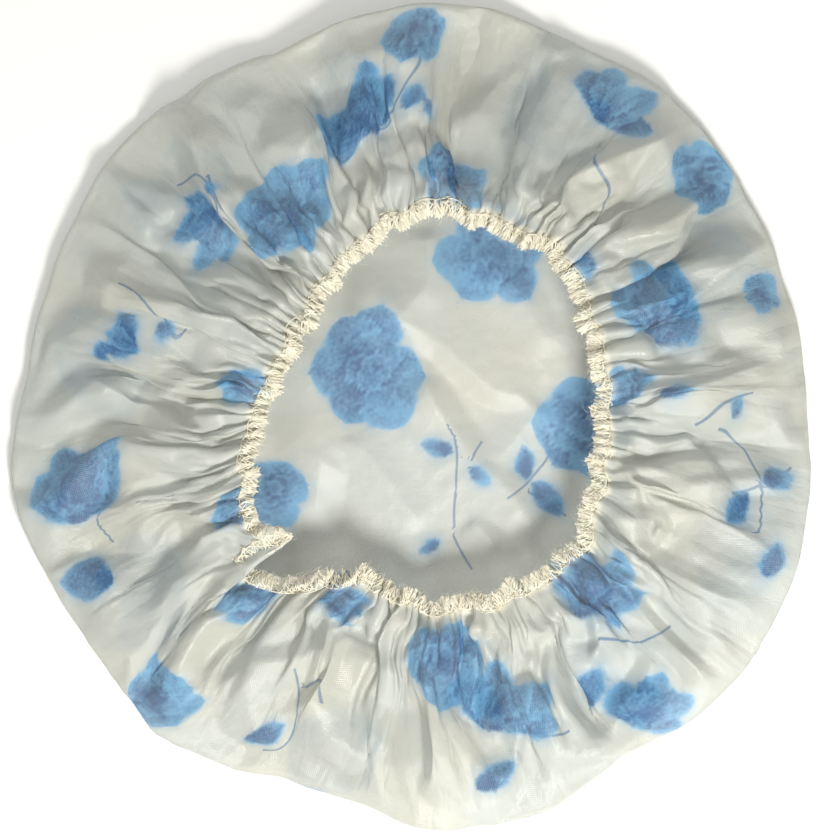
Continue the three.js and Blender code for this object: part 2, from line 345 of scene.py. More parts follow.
flat_cut = np.stack([np.cos(phi), np.sin(phi), 0 * phi], 1) * (rho * stretch(phi))[:, None]
share = rho / CUT
START_STEP = 1e-3  # the directions on the cloth are measured over this angle, and over this share
SHARE_STEP = 4e-3
drape_start, tip_share, fold_turn, hem_turn, _ = spoke_place(phi, share)
turned = spoke_place(phi + START_STEP, share)[0] - spoke_place(phi - START_STEP, share)[0]
turned /= 2 * START_STEP
along = (
    spoke_place(phi, np.clip(share + SHARE_STEP, 0, 1))[0]
    - spoke_place(phi, np.clip(share - SHARE_STEP, 0, 1))[0]
)
outward = np.cross(turned, along)
outward /= np.linalg.norm(outward, axis=1)[:, None] + 1e-12
to_hem = np.clip((share - tip_share) / (1 - tip_share), -1, 1)
if outward[to_hem > 0.6][:, 2].mean() < 0:
    outward = -outward
room = np.linalg.norm(turned, axis=1) + 1e-9
sideways = turned / room[:, None]
fullness = np.maximum(rho / room, 1.0)  # how much more cloth there is than room, round the cap

# the gathers that the drape starts from: few outside, and ever more and smaller ones to the hem. The first
# row and the broad folds are the solid's own, in their places. Each row: folds round the cap; where they
# begin, are full, fade and end on the way to the hem; unevenness; seed
GATHERS = (
    (28, -0.10, 0.30, 0.50, 0.85, 0.0, 21),
    (52, 0.08, 0.40, 0.70, 1.00, 0.45, 22),
    (100, 0.34, 0.64, 0.90, 1.20, 0.40, 23),
    (150, 0.66, 0.90, 1.30, 1.60, 0.30, 24),
)
BROAD_FOLDS = ((5, 2.2 * MM, 40), (9, 1.8 * MM, 12))  # how many, half height, and degrees to the first
GATHER_SHARE = 0.8  # share of the spare cloth that the first gathers take up
GATHER_HEIGHTS = 0.35  # how unequal they are
GATHER_LEAN = 1.5
GATHER_SLIDE = 0.4  # how far they lean over
GATHERS_AT_HEM = 0.5  # share of their height that is left where the elastic holds them
HELD_GATHERS = 0.12  # share of the way to the hem over which it does so
BROAD_STRIP = (0, 0.33, 0.6, 0.95)  # of the way to the hem: broad folds begin, are full, fade and end
CRUMPLE = 0.6 * MM
CRUMPLES = 9
CRUMPLE_LENGTHS = (30, 80)  # mm
START_HEIGHT = 0.8 * MM  # no cloth starts lower than this


def fold_wave(count, unevenness, seed, angle):
    """Height and sideways lean of a row of uneven folds round the cap."""
    draw = np.random.default_rng(seed)
    ends = np.concatenate([[0], np.cumsum(1 + unevenness * draw.uniform(-1, 1, count))])
    ends *= TAU / ends[-1]
    start = draw.uniform(0, TAU) if unevenness else 0.0
    size = 1 + GATHER_HEIGHTS * draw.uniform(-1, 1, count)
    lean = GATHER_LEAN * draw.uniform(-1, 1, count)
    x = np.interp((angle + start) % TAU, ends, np.arange(count + 1))
    k = np.minimum(x.astype(int), count - 1)
    after = (k + 1) % count
    part = ease(x - k, 0, 1)
    height = size[k] * (1 - part) + size[after] * part
    slant = lean[k] * (1 - part) + lean[after] * part
    swing = TAU * (x - k)
    return np.cos(swing) * height, (np.sin(swing) + slant * (1 + np.cos(swing)) / 2) * height


gather_share = np.array([within(to_hem, *gather[1:5]) for gather in GATHERS])
in_all = np.maximum((gather_share**2).sum(0), 0.5)
rise = np.zeros(len(rho))
slide = np.zeros(len(rho))
spoke_turn = fold_turn + ((hem_turn - fold_turn + math.pi) % TAU - math.pi) * np.clip(to_hem, 0, 1)
for (folds, *_, unevenness, seed), part in zip(GATHERS, gather_share):
    height, slant = fold_wave(folds, unevenness, seed, phi if unevenness else spoke_turn)
    size = GATHER_SHARE * np.sqrt(2 * (fullness**2 - 1) * part**2 / in_all) * room / folds
    rise += size * height
    slide += GATHER_SLIDE * size * slant
free = ease(1 - to_hem, 0, HELD_GATHERS)
rise *= GATHERS_AT_HEM + (1 - GATHERS_AT_HEM) * free
draw = np.random.default_rng(3)
crumple = np.zeros(len(rho))
for _ in range(CRUMPLES):
    lie = draw.uniform(0, math.pi)
    length = draw.uniform(*CRUMPLE_LENGTHS) * MM
    crumple += np.cos(TAU * (flat_cut @ [math.cos(lie), math.sin(lie), 0]) / length + draw.uniform(0, 6.28))
crumple *= CRUMPLE / 3
drape_start = (
    drape_start
    + outward * (rise + crumple * free * ease(to_hem, -0.05, 0.2))[:, None]
    + sideways * (slide * free)[:, None]
)
for waves, tall, first in BROAD_FOLDS:
    bulge = tall * np.cos(waves * (spoke_turn - math.radians(first)))
    drape_start[:, 2] += bulge * within(to_hem, *BROAD_STRIP)
drape_start[:, 2] += np.where(to_hem < 0, np.abs(crumple) * ease(-to_hem, 0.05, 0.2), 0)
drape_start[:, 2] = np.maximum(drape_start[:, 2], START_HEIGHT)

# the drape: the flat cut is the cloth's rest shape, the hem is held, and the gathers settle under a plate
FILM = {
    "quality": 6, "mass": 0.05, "tension_stiffness": 80, "compression_stiffness": 80, "shear_stiffness": 32,
    "bending_model": "ANGULAR", "bending_stiffness": 1.0, "tension_damping": 10, "compression_damping": 10,
    "shear_damping": 10, "bending_damping": 0.5, "air_damping": 3, "vertex_group_mass": "held",
}
FILM_WEIGHT = 1.5  # gravity, as a share of the usual one
FILM_GAP = 0.006  # the film keeps this far off the floor, the plate and itself, at the drape's scale
STOP_SKIN = 0.004  # the floor and the plate are felt this far off
FLOOR_FRICTION = 20
PLATE_FRICTION = 2


def add_mesh(name, points, faces):
    """A new mesh in the scene."""
    mesh = bpy.data.meshes.new(name)
    mesh.from_pydata(points.tolist(), [], faces)
    return add_object(name, mesh)


drape = add_mesh("drape", drape_start * DRAPE_SCALE, cut_faces)
drape.shape_key_add(name="start")
cut_key = drape.shape_key_add(name="cut")
cut_key.data.foreach_set("co", (flat_cut * DRAPE_SCALE).astype(np.float32).ravel())
cut_key.value = 0
held = drape.vertex_groups.new(name="held")
held.add(np.nonzero(rho > CUT - PINNED)[0].tolist(), 1.0, "REPLACE")
held.add(np.nonzero(rho < CROWN_HELD[0])[0].tolist(), CROWN_HELD[1], "REPLACE")

bpy.ops.mesh.primitive_plane_add(size=FLOOR_SIZE)
drape_floor = bpy.context.object
bpy.ops.mesh.primitive_plane_add(size=PLATE_SIZE, rotation=(math.pi, 0, 0))
plate = bpy.context.object
for stop, friction in ((drape_floor, FLOOR_FRICTION), (plate, PLATE_FRICTION)):
    stop.modifiers.new("Collision", "COLLISION")
    stop.collision.thickness_outer = STOP_SKIN
    stop.collision.cloth_friction = friction
plate_high, plate_low, plate_down = PLATE_DROP
for plate_height, plate_frame in ((plate_high, 1), (plate_low, plate_down)):
    plate.location.z = plate_height * DRAPE_SCALE
    plate.keyframe_insert("location", frame=plate_frame)

cloth = drape.modifiers.new("Cloth", "CLOTH")
for setting, value in FILM.items():
    setattr(cloth.settings, setting, value)
cloth.settings.effector_weights.gravity = FILM_WEIGHT
cloth.settings.rest_shape_key = cut_key
cloth.collision_settings.distance_min = FILM_GAP
cloth.collision_settings.use_self_collision = True
cloth.collision_settings.self_distance_min = FILM_GAP
hem_strip = drape.vertex_groups.new(name="hem_strip")
hem_strip.add(np.nonzero(rho > CUT - PINNED - CLOSE_RINGS[1])[0].tolist(), 1.0, "REPLACE")
cloth.collision_settings.vertex_group_self_collisions = "hem_strip"
cloth.point_cache.frame_end = DRAPE_FRAMES
for drape_frame in range(1, DRAPE_FRAMES + 1):
    scene.frame_set(drape_frame)


def values_of(rows, name, width, kind=np.float32):
    """One property of all points or corners of a mesh."""
    values = np.empty(len(rows) * width, dtype=kind)
    rows.foreach_get(name, values)
    return values.reshape(-1, width)


settled = drape.evaluated_get(bpy.context.evaluated_depsgraph_get())
lie = values_of(settled.data.vertices, "co", 3).astype(float) / DRAPE_SCALE
scene.frame_set(1)
for helper in (drape, drape_floor, plate):
    bpy.data.objects.remove(helper)

# the settled sheet is drawn out to the solid's outline; the hem and the crown stay where they are
bearing = np.arctan2(lie[:, 1], lie[:, 0]) % TAU
reach = np.hypot(lie[:, 0], lie[:, 1])
SECTORS = 72
PULLED = (0.6, 0.97)  # share of the way out where the pull begins and is full
sector = np.minimum((bearing / TAU * SECTORS).astype(int), SECTORS - 1)
widest = np.array([reach[sector == s].max() for s in range(SECTORS)])
sector_middle = (np.arange(SECTORS) + 0.5) * TAU / SECTORS
widest_at = softened(lambda angle: np.interp(angle % TAU, sector_middle, widest, period=TAU), 8)
pull = outline_at(bearing) / widest_at(bearing) - 1
lie[:, :2] *= (1 + pull * ease(reach / widest_at(bearing), *PULLED))[:, None]

sheet = add_mesh("cap_sheet_cloth", lie, cut_faces)
sheet_mesh = sheet.data
# the flat cut is the sheet's own map, so that weave and print follow the cloth
MAP_WIDTH = 2.2 * CUT
cut_map = sheet_mesh.uv_layers.new(name="OFBake")
corner_point = values_of(sheet_mesh.loops, "vertex_index", 1, np.int32)[:, 0]
cut_map.uv.foreach_set("vector", (flat_cut[corner_point, :2] / MAP_WIDTH + 0.5).astype(np.float32).ravel())


def make_active(piece):
    """Makes a piece the only one that is selected."""
    bpy.ops.object.select_all(action="DESELECT")
    bpy.context.view_layer.objects.active = piece
    piece.select_set(True)


make_active(sheet)
finer = sheet.modifiers.new("finer", "SUBSURF")
finer.levels = 1
finer.render_levels = 1
finer.uv_smooth = "NONE"
bpy.ops.object.modifier_apply(modifier="finer")
bpy.ops.object.shade_smooth()

sheet_mesh = sheet.data
count = len(sheet_mesh.vertices)
corner_point = values_of(sheet_mesh.loops, "vertex_index", 1, np.int32)[:, 0]
corner_map = values_of(sheet_mesh.uv_layers["OFBake"].uv, "vector", 2)
cut_place = np.empty((count, 2))
cut_place[corner_point] = (corner_map - 0.5) * MAP_WIDTH
lie = values_of(sheet_mesh.vertices, "co", 3).astype(float)
phi = np.arctan2(cut_place[:, 1], cut_place[:, 0]) % TAU
rho = np.hypot(cut_place[:, 0], cut_place[:, 1]) / stretch(phi)

# the film has been packed flat: away from the hem its gathers are pressed into broad panels
PRESS_ROUNDS = 22
PRESSED = 0.86
PRESSED_STRIP = (150 * MM, 164 * MM, 186 * MM, 212 * MM)  # of the cut: begins, is full, fades and ends
corners = corner_point.reshape(-1, 4)
sides = np.sort(np.stack([corners, np.roll(corners, -1, 1)], 2).reshape(-1, 2), 1)
edges = np.unique(sides, axis=0)
ways = np.bincount(edges.ravel(), minlength=count)
press = PRESSED * within(rho, *PRESSED_STRIP)
flatter = lie.copy()
for _ in range(PRESS_ROUNDS):
    for axis in range(3):
        around_point = np.bincount(edges[:, 0], flatter[edges[:, 1], axis], count)
        around_point += np.bincount(edges[:, 1], flatter[edges[:, 0], axis], count)
        flatter[:, axis] = 0.5 * flatter[:, axis] + 0.5 * around_point / ways
lie += press[:, None] * (flatter - lie)

# what the drape is too coarse for: the film's own small pleats and creases, as ridges that come and go.
# Each: waves round the cap, mm from one to the next towards the hem, height in mm, and where on the cut
# they begin and end, in mm from its middle
PLEATS = (
    (26, 160, 1.1, 138, 222), (31, -120, 1.0, 138, 222), (44, 300, 0.9, 145, 226),
    (58, -260, 0.8, 155, 228), (37, 60, 0.7, 138, 215), (29, -45, 0.7, 138, 215),
    (83, 400, 0.8, 165, 230), (97, -350, 0.7, 170, 230), (128, 600, 0.7, 182, 231),
    (151, -500, 0.6, 188, 231), (12, 34, 0.5, 130, 220), (17, -29, 0.5, 130, 220),
)
PLEAT_ENDS = (20, 6)  # mm of the cut over which they rise, and fall off
draw = np.random.default_rng(11)
normals = values_of(sheet_mesh.vertices, "normal", 3)
creases = np.zeros(count)
for waves, apart, tall, first, last in PLEATS:
    sway = 0.35 * np.sin(draw.integers(3, 9) * phi + draw.uniform(0, TAU) + rho / (40 * MM))
    place = waves * phi / TAU + rho / (apart * MM) + sway + draw.uniform()
    ridge = 1 - np.abs(2 * (place % 1) - 1)
    patch = np.sin(draw.integers(5, 14) * phi + draw.uniform(0, TAU) + rho / (30 * MM))
    patch = patch + 0.7 * np.sin(rho / (draw.uniform(9, 16) * MM) + draw.uniform(0, TAU))
    strip = within(rho / MM, first, first + PLEAT_ENDS[0], last - PLEAT_ENDS[1], last)
    creases += tall * MM * (ridge - 0.5) * ease(patch, -0.4, 0.5) * strip

# the larger folds of the skirt and the creases of the crown, where they are seen from above. Each: places
# that it runs through in mm, its height, and how far it falls off to its left and to its right
SKIRT_FOLDS = (
    (((15, 71), (16, 90), (18, 104), (19, 125), (25, 142)), -4, 7, 24),
    (((48, 96), (55, 108), (59, 115), (56, 125), (50, 134)), 3.5, 24, 9),
    (((43, 72), (54, 81), (68, 88), (82, 94), (96, 100)), 6, 6, 20),
    (((96, 100), (102, 81), (103, 67)), 2.5, 6, 12),
    (((68, 59), (82, 63), (100, 65)), 3, 12, 2.5),
    (((68, 33), (82, 34), (96, 39), (111, 50), (127, 63)), 5, 20, 2.5),
    (((68, 5), (85, 7), (103, 11), (128, 20)), 5, 8, 16),
    (((66, -12), (96, -8), (110, -6)), 2, 6, 4),
    (((66, -19), (99, -16), (117, -15)), 2, 6, 4),
    (((68, -26), (103, -23), (141, -20)), 3, 10, 6),
    (((67, -35), (85, -36), (89, -43)), 3.5, 5, 8),
    (((63, -39), (85, -51), (103, -60), (129, -72)), 4, 6, 12),
    (((68, -47), (75, -58), (81, -69), (99, -87), (109, -98)), 4.5, 4, 14),
    (((58, -45), (62, -58), (66, -79), (64, -88)), 4, 10, 3),
    (((87, -84), (76, -102), (68, -114), (54, -134)), 4, 12, 6),
    (((7, -65), (5, -75), (6, -93), (8, -111), (8, -125), (5, -136)), 4.5, 14, 3),
    (((26, -68), (24, -79), (24, -96), (23, -108)), 4, 3, 12),
    (((44, -79), (42, -100), (38, -113), (36, -122), (28, -132)), 4.5, 3, 14),
    (((49, -65), (49, -86), (51, -107)), 2.5, 8, 5),
    (((-25, -61), (-27, -67), (-28, -77), (-34, -96), (-38, -105)), 4, 12, 3),
    (((-58, -51), (-69, -65), (-80, -79), (-86, -95), (-90, -103)), 4.5, 12, 5),
    (((-61, -57), (-73, -75), (-81, -90)), 3, 8, 4),
    (((-71, -45), (-91, -48), (-106, -49), (-127, -57)), -4, 10, 16),
    (((-63, -4), (-80, -5), (-105, -9), (-122, -14), (-140, -20)), 5, 18, 10),
    (((-62, -87), (-56, -100), (-51, -120)), 3, 8, 12),
    (((-62, -87), (-38, -84), (-27, -79)), 2.5, 6, 9),
    (((-22, -81), (-5, -90), (8, -97)), 3, 6, 10),
    (((-34, 36), (-63, 38), (-91, 41), (-119, 53)), 5.5, 16, 12),
    (((-38, 47), (-56, 54), (-71, 54), (-94, 58)), -3, 6, 16),
    (((-26, 57), (-42, 57), (-58, 59)), 3.5, 3, 12),
    (((-59, 74), (-69, 81), (-75, 94), (-81, 108)), 3.5, 10, 8),
    (((-83, 68), (-91, 77), (-105, 90)), 3.5, 12, 8),
    (((-49, 12), (-77, 13), (-87, 7), (-96, 4), (-106, 11), (-114, 14), (-124, 10), (-132, 0)), 3, 9, 6),
    (((4, 121), (-17, 117), (-38, 110), (-59, 108)), -4, 16, 9),
    (((-51, 93), (-44, 98), (-37, 100), (-32, 95)), 2.5, 7, 9),
    (((-12, 70), (-14, 87), (-15, 104)), 3, 7, 4),
    (((-6, 71), (-8, 87), (-8, 99)), 3, 7, 4),
    (((45, 71), (39, 80), (40, 84), (34, 101)), 3, 5, 6),
    (((136, 30), (131, 23), (128, 6)), 2.5, 6, 10),
    (((-32, 30), (-59, 35), (-80, 36)), 2, 5, 3),
    (((-34, 26), (-56, 29), (-77, 30)), 2, 5, 3),
    (((-36, 23), (-59, 23), (-73, 25)), 2, 5, 3),
)
CROWN_CREASES = (
    (((-27, 38), (-6, 34), (9, 27), (30, 9), (48, 6)), 4.0, 20, 7),
    (((1, 16), (9, 4), (23, -15), (36, -27), (46, -43)), 5.0, 8, 22),
    (((-23, -6), (-12, -17), (5, -40)), 2.6, 14, 8),
    (((7, 67), (7, 45), (-6, 32)), 2.6, 8, 16),
    (((48, 5), (30, -17)), 2.2, 8, 12),
    (((46, -43), (32, -48), (20, -36)), 3.0, 12, 6),
    (((-40, 30), (-30, -10), (-34, -42)), 2.4, 10, 18),
    (((20, 60), (38, 44), (52, 22)), 2.2, 8, 16),
    (((-20, 52), (2, 22), (14, -4)), 1.8, 8, 14),
    (((-50, -5), (-20, -22), (10, -60)), 2.0, 18, 8),
    (((-60, 60), (-20, 80), (30, 90), (70, 60)), 2.0, 13, 13),
    (((-70, -30), (-40, -70), (0, -90), (50, -80)), 2.0, 13, 13),
    (((80, 30), (88, -10), (70, -50)), 2.0, 12, 12),
)


FOLD_ENDS = (0, 0.15, 0.85, 1)  # shares of a fold's length: it rises, is full, falls off and ends


def from_line(places, points):
    """How far places lie from a line through points, how far to its left, and how far along it."""
    points = np.array(points, dtype=float)
    steps = np.linalg.norm(np.diff(points, axis=0), axis=1)
    starts = np.concatenate([[0], np.cumsum(steps)])
    gap = np.full(len(places), 1e3)
    side = np.zeros(len(places))
    run = np.zeros(len(places))
    for a, b, start, step in zip(points[:-1], points[1:], starts, steps):
        ahead = (b - a) / step
        off = places - a
        part = np.clip(off @ ahead, 0, step)
        away = np.hypot(*(off - part[:, None] * ahead).T)
        closer = away < gap
        gap[closer] = away[closer]
        side[closer] = (ahead[0] * off[:, 1] - ahead[1] * off[:, 0])[closer]
        run[closer] = (start + part)[closer] / starts[-1]
    return gap, side, run


def fold_height(places, points, tall, left, right):
    """Height of a fold with straight sides at places seen from above, all in mm; it fades at its ends."""
    gap, side, run = from_line(places, points)
    slope = np.maximum(1 - gap / np.where(side > 0, left, right), 0)
    return tall * slope * within(run, *FOLD_ENDS)


SKIRT_START = (148 * MM, 156 * MM)  # of the cut: from here on it is skirt, and up to here it is crown
CROWN_END = (110 * MM, 130 * MM)
HEM_HOLD = 14 * MM  # from the edge: the hem's hold on the cloth begins, and is full
HEM_FULL_HOLD = 8 * MM
free_of_hem = 1 - ease(rho, CUT - HEM_HOLD, CUT - HEM_FULL_HOLD)
on_skirt = ease(rho, *SKIRT_START) * free_of_hem
on_crown = 1 - ease(rho, *CROWN_END)
raised = np.zeros(count)
for fold in SKIRT_FOLDS:
    raised += MM * fold_height(lie[:, :2] / MM, *fold) * on_skirt
for crease in CROWN_CREASES:
    raised += MM * fold_height((cut_place + CUT_MIDDLE) / MM, *crease) * on_crown
lie += normals * creases[:, None]
lie[:, 2] += raised

# a thin film lies in flat facets with sharp creases between them: each face turns towards those next to it
# that face alike and away from the mean of all, and the points then follow the faces
FACET_ROUNDS = 10
FACET_LIKENESS = 0.012  # how fast neighbours that face other ways lose their hold on each other
MEAN_ROUNDS = 22
SHARPER = 0.3
FOLLOW_ROUNDS = 14
LOWEST = 0.1 * MM
ANY_LIKENESS = 100.0
order = np.lexsort((sides[:, 1], sides[:, 0]))
shared = np.nonzero((sides[order[1:]] == sides[order[:-1]]).all(1))[0]
one, other = order[shared] // 4, order[shared + 1] // 4


def unit(ways):
    """The same directions with a length of one."""
    return ways / (np.linalg.norm(ways, axis=1)[:, None] + 1e-15)


def evened(facing, likeness):
    """Where faces look after each has turned towards its neighbours."""
    alike = np.exp(((facing[one] * facing[other]).sum(1) - 1) / likeness)
    turned = facing.copy()
    for axis in range(3):
        turned[:, axis] += np.bincount(one, alike * facing[other, axis], len(corners))
        turned[:, axis] += np.bincount(other, alike * facing[one, axis], len(corners))
    return unit(turned)


facing = unit(np.cross(lie[corners[:, 2]] - lie[corners[:, 0]], lie[corners[:, 3]] - lie[corners[:, 1]]))
for _ in range(FACET_ROUNDS):
    facing = evened(facing, FACET_LIKENESS)
mean_facing = facing
for _ in range(MEAN_ROUNDS):
    mean_facing = evened(mean_facing, ANY_LIKENESS)
facing = unit(facing + SHARPER * (facing - mean_facing))
faces_at = np.bincount(corners.ravel(), minlength=count)
for _ in range(FOLLOW_ROUNDS):
    middle = lie[corners].mean(1)
    for corner in range(4):
        off = ((middle - lie[corners[:, corner]]) * facing).sum(1)
        for axis in range(3):
            move = np.bincount(corners[:, corner], off * facing[:, axis], count)
            lie[:, axis] += move / faces_at * free_of_hem
lie[:, 2] = np.maximum(lie[:, 2], LOWEST)
sheet_mesh.vertices.foreach_set("co", lie.astype(np.float32).ravel())
sheet_mesh.update()

# the print: loose blossoms, buds, leaves and stems. Each lies where it is seen from above, on the skirt or
# the crown, and is drawn on the flat cut round the cloth that lies there, so that folds cut through it
# the larger, the further out a petal or leaf is widest
LEAF_TIP = 0.85
BUD_TIP = 1.2
FAN_TIP = 1.4
PETAL_TIP = 1.7
# petals of a blossom from its front, as rings: how many, and length and width as shares of its size
BLOOM_RINGS = ((6, 0.62, 0.48), (5, 0.46, 0.36), (3, 0.30, 0.24))
# petals of a blossom from its side: degrees off its middle, length, width and tone
FAN = (
    (-48, 0.80, 0.42, 0.40), (46, 0.82, 0.42, 0.36), (-20, 0.98, 0.46, 0.30), (22, 0.96, 0.46, 0.34),
    (-33, 0.62, 0.34, 0.50), (30, 0.64, 0.36, 0.46), (0, 0.78, 0.44, 0.42),
)
CALYX = (-38, 38, 0)  # degrees off its middle
BUD_PETALS = ((-24, 0.44), (22, 0.44), (0, 0.40))  # degrees off its middle, and width
LEAF_WIDTH = 0.58
STEM_STEPS = 8  # short straight lines from one place of a stem to the next
PETAL_SHADOW = 1.8  # mm, the dark line that a petal leaves on the one below
PETAL_RIM = 3.0  # mm, its pale rim
SHADOW_TONE = 0.20
RIM_LIGHT = 0.34
BASE_TONE = 0.50
PRINT_SCALE = {"skirt": 0.88, "crown": 1}  # the skirt slopes, so that less of it is seen
PRINTED_SKIRT = 150 * MM  # of the cut: from here on it is printed as skirt
MOST_FULL = 2.2  # motifs are drawn out to at most this much where the cloth is gathered
NEAREST = 40  # points of the skirt that are tried for the one that lies on top at a place
inked = np.full(count, -20.0)  # how far inside the print a point of the cloth lies, in mm
tone = np.zeros(count)  # from pale to dark ink
stem_side = np.full(count, 40.0)  # distance to one side of the nearest stem, in mm
stem_gap = np.full(count, 40.0)  # distance from it
vein_along = np.zeros(count)  # distance along the petal or leaf, in mm
vein_aside = np.zeros(count)  # distance from its middle


def print_here(layer, x, y):
    """Distances in mm, as seen from above, from a place on the cap to each point of the cloth."""
    place = np.array([x, y]) * MM
    if layer == "crown":
        apart = cut_place + CUT_MIDDLE - place
        return apart[:, 0] / MM, apart[:, 1] / MM
    skirt = np.nonzero(rho > PRINTED_SKIRT)[0]
    near = skirt[np.argsort(np.hypot(*(lie[skirt, :2] - place).T))[:NEAREST]]
    top = near[np.argmax(lie[near, 2])]
    spoke = place - MOUTH_CENTRE
    away = np.hypot(*spoke)
    full = np.clip(rho[top] / away, 1, MOST_FULL)
    inwards = rho[top] - rho
    round_cap = ((phi - phi[top] + math.pi) % TAU - math.pi) * rho[top] / full
    facing = math.atan2(spoke[1], spoke[0])
    return (
        (inwards * math.cos(facing) - round_cap * math.sin(facing)) / MM,
        (inwards * math.sin(facing) + round_cap * math.cos(facing)) / MM,
    )


def heading(turn, size=1):
    """A way of a size in a direction."""
    return size * math.cos(math.radians(turn)), size * math.sin(math.radians(turn))


def draw_petal(x, y, base, turn, length, width, tip, shade):
    """One petal or leaf from its base: it covers what is below, and is darkest at its base."""
    c, s = heading(turn)
    run = (x - base[0]) * c + (y - base[1]) * s
    aside = (y - base[1]) * c - (x - base[0]) * s
    part = np.clip(run / length, 0, 1)
    half = width / 2 * np.sin(math.pi * part**tip) ** 0.7
    depth = half - np.abs(aside)
    beyond = np.maximum(-run, run - length)
    depth = np.where(beyond > 0, -np.hypot(beyond, aside), depth)
    under = (depth < 0) & (depth > -PETAL_SHADOW) & (inked > 0)
    tone[under] += SHADOW_TONE * (1 + depth[under] / PETAL_SHADOW)
    over = depth > 0
    rim_light = RIM_LIGHT * ease(PETAL_RIM - depth[over], 0, PETAL_RIM)
    tone[over] = shade + BASE_TONE * (1 - part[over]) ** 1.5 - rim_light
    vein_along[over] = run[over]
    vein_aside[over] = aside[over]
    np.maximum(inked, depth, out=inked)


def draw_stem(x, y, points):
    """A thin stem through a few places."""
    ends = np.array(points, dtype=float)
    knots = np.linspace(0, 1, len(ends))
    fine = np.linspace(0, 1, STEM_STEPS * len(ends))
    bend = np.polyfit(knots, ends, min(3, len(ends) - 1))
    line = np.stack([np.polyval(bend[:, axis], fine) for axis in (0, 1)], 1)
    gap, side, _ = from_line(np.stack([x, y], 1), line)
    closer = gap < stem_gap
    stem_gap[closer] = gap[closer]
    stem_side[closer] = side[closer]


def open_bloom(x, y, size, turn, seed):
    """A blossom seen from its front: three rings of petals, each smaller and darker than the last."""
    draw = np.random.default_rng(seed)
    for ring, (petals, length, width) in enumerate(BLOOM_RINGS):
        first = turn + draw.uniform(0, 360)
        for n in range(petals):
            lie_turn = first + 360 / petals * (n + 0.25 * draw.uniform(-1, 1))
            draw_petal(
                x, y, heading(lie_turn, -0.1 * size), lie_turn, size * length * draw.uniform(0.85, 1.05),
                size * width * draw.uniform(0.85, 1.1), PETAL_TIP,
                0.28 + 0.14 * ring + 0.2 * draw.uniform(-1, 1),
            )


def side_bloom(x, y, size, turn, seed):
    """A blossom seen from its side: petals spread like a fan from a calyx."""
    draw = np.random.default_rng(seed)
    base = heading(turn, -0.45 * size)
    for spread, length, width, shade in FAN:
        draw_petal(
            x, y, base, turn + spread + 5 * draw.uniform(-1, 1), size * length, size * width,
            FAN_TIP, shade + 0.16 * draw.uniform(-1, 1),
        )
    for spread in CALYX:
        draw_petal(x, y, base, turn + spread, 0.24 * size, 0.12 * size, LEAF_TIP, 0.75)


def bud(x, y, size, turn, seed):
    """A closed bud of three petals."""
    draw = np.random.default_rng(seed)
    base = heading(turn, -0.5 * size)
    for spread, width in BUD_PETALS:
        draw_petal(
            x, y, base, turn + spread, size * draw.uniform(0.9, 1.05), size * width,
            BUD_TIP, 0.48 + 0.1 * draw.uniform(-1, 1),
        )


def leaf(x, y, size, turn, seed):
    """One leaf with its tip away from its stalk; all leaves are alike, whatever their seed."""
    draw_petal(x, y, heading(turn, -0.5 * size), turn, size, LEAF_WIDTH * size, LEAF_TIP, 0.50)


# kind, place in mm to the right of and above the middle, size in mm, direction in degrees
MOTIFS = {
    "skirt": (
        (open_bloom, (2, 142), 28, 20), (side_bloom, (-16, 111), 34, 118), (leaf, (5, 112), 12, 70),
        (leaf, (10, 107), 10, -60), (open_bloom, (19, 84), 32, 50), (open_bloom, (-43, 72), 40, 0),
        (side_bloom, (-70, 64), 26, 215), (leaf, (-68, 82), 8, 20), (side_bloom, (77, 112), 28, 40),
        (open_bloom, (109, 88), 30, 10), (bud, (59, 51), 15, 250), (side_bloom, (87, 43), 32, 95),
        (open_bloom, (131, 47), 18, 0), (bud, (-103, 26), 18, 160), (leaf, (-108, 18), 12, 250),
        (leaf, (-86, 26), 9, -20), (open_bloom, (-54, 12), 26, 30), (side_bloom, (-113, -25), 36, 95),
        (leaf, (-118, -50), 26, 185), (open_bloom, (-62, -33), 22, 60), (side_bloom, (71, 9), 20, 130),
        (leaf, (84, 14), 9, 20), (leaf, (94, 10), 14, 5), (leaf, (117, -31), 15, 215),
        (leaf, (134, -23), 15, 10), (leaf, (118, 2), 9, 60), (leaf, (136, -49), 15, 60),
        (side_bloom, (66, -58), 34, 70), (leaf, (72, -72), 12, 300), (bud, (-58, -62), 22, 190),
        (bud, (-26, -53), 13, 100), (bud, (-20, -68), 18, 340), (open_bloom, (14, -90), 38, 15),
        (side_bloom, (34, -96), 30, 55), (leaf, (27, -129), 18, 40), (leaf, (62, -97), 18, 80),
        (side_bloom, (90, -104), 26, 50), (open_bloom, (-94, -98), 34, 30), (leaf, (-57, -122), 18, 10),
    ),
    "crown": (
        (open_bloom, (-15, 16), 45, 0), (open_bloom, (29, 58), 40, 40), (open_bloom, (62, -3), 36, 70),
        (open_bloom, (-48, -27), 26, 20), (leaf, (10, -11), 12, 165), (leaf, (25, -21), 10, -40),
        (leaf, (41, -16), 13, 95), (leaf, (49, -29), 16, -50), (leaf, (7, -46), 9, 215),
        (open_bloom, (-26, -120), 36, 0), (side_bloom, (-92, -62), 34, 200),
        (open_bloom, (-108, 18), 40, 80), (side_bloom, (-80, 78), 34, 130),
        (open_bloom, (-18, 108), 38, 10), (side_bloom, (52, 104), 32, 60),
        (open_bloom, (104, 52), 40, 30), (side_bloom, (115, -48), 34, 350),
        (open_bloom, (74, -88), 38, 50), (bud, (22, -98), 20, 280),
    ),
}
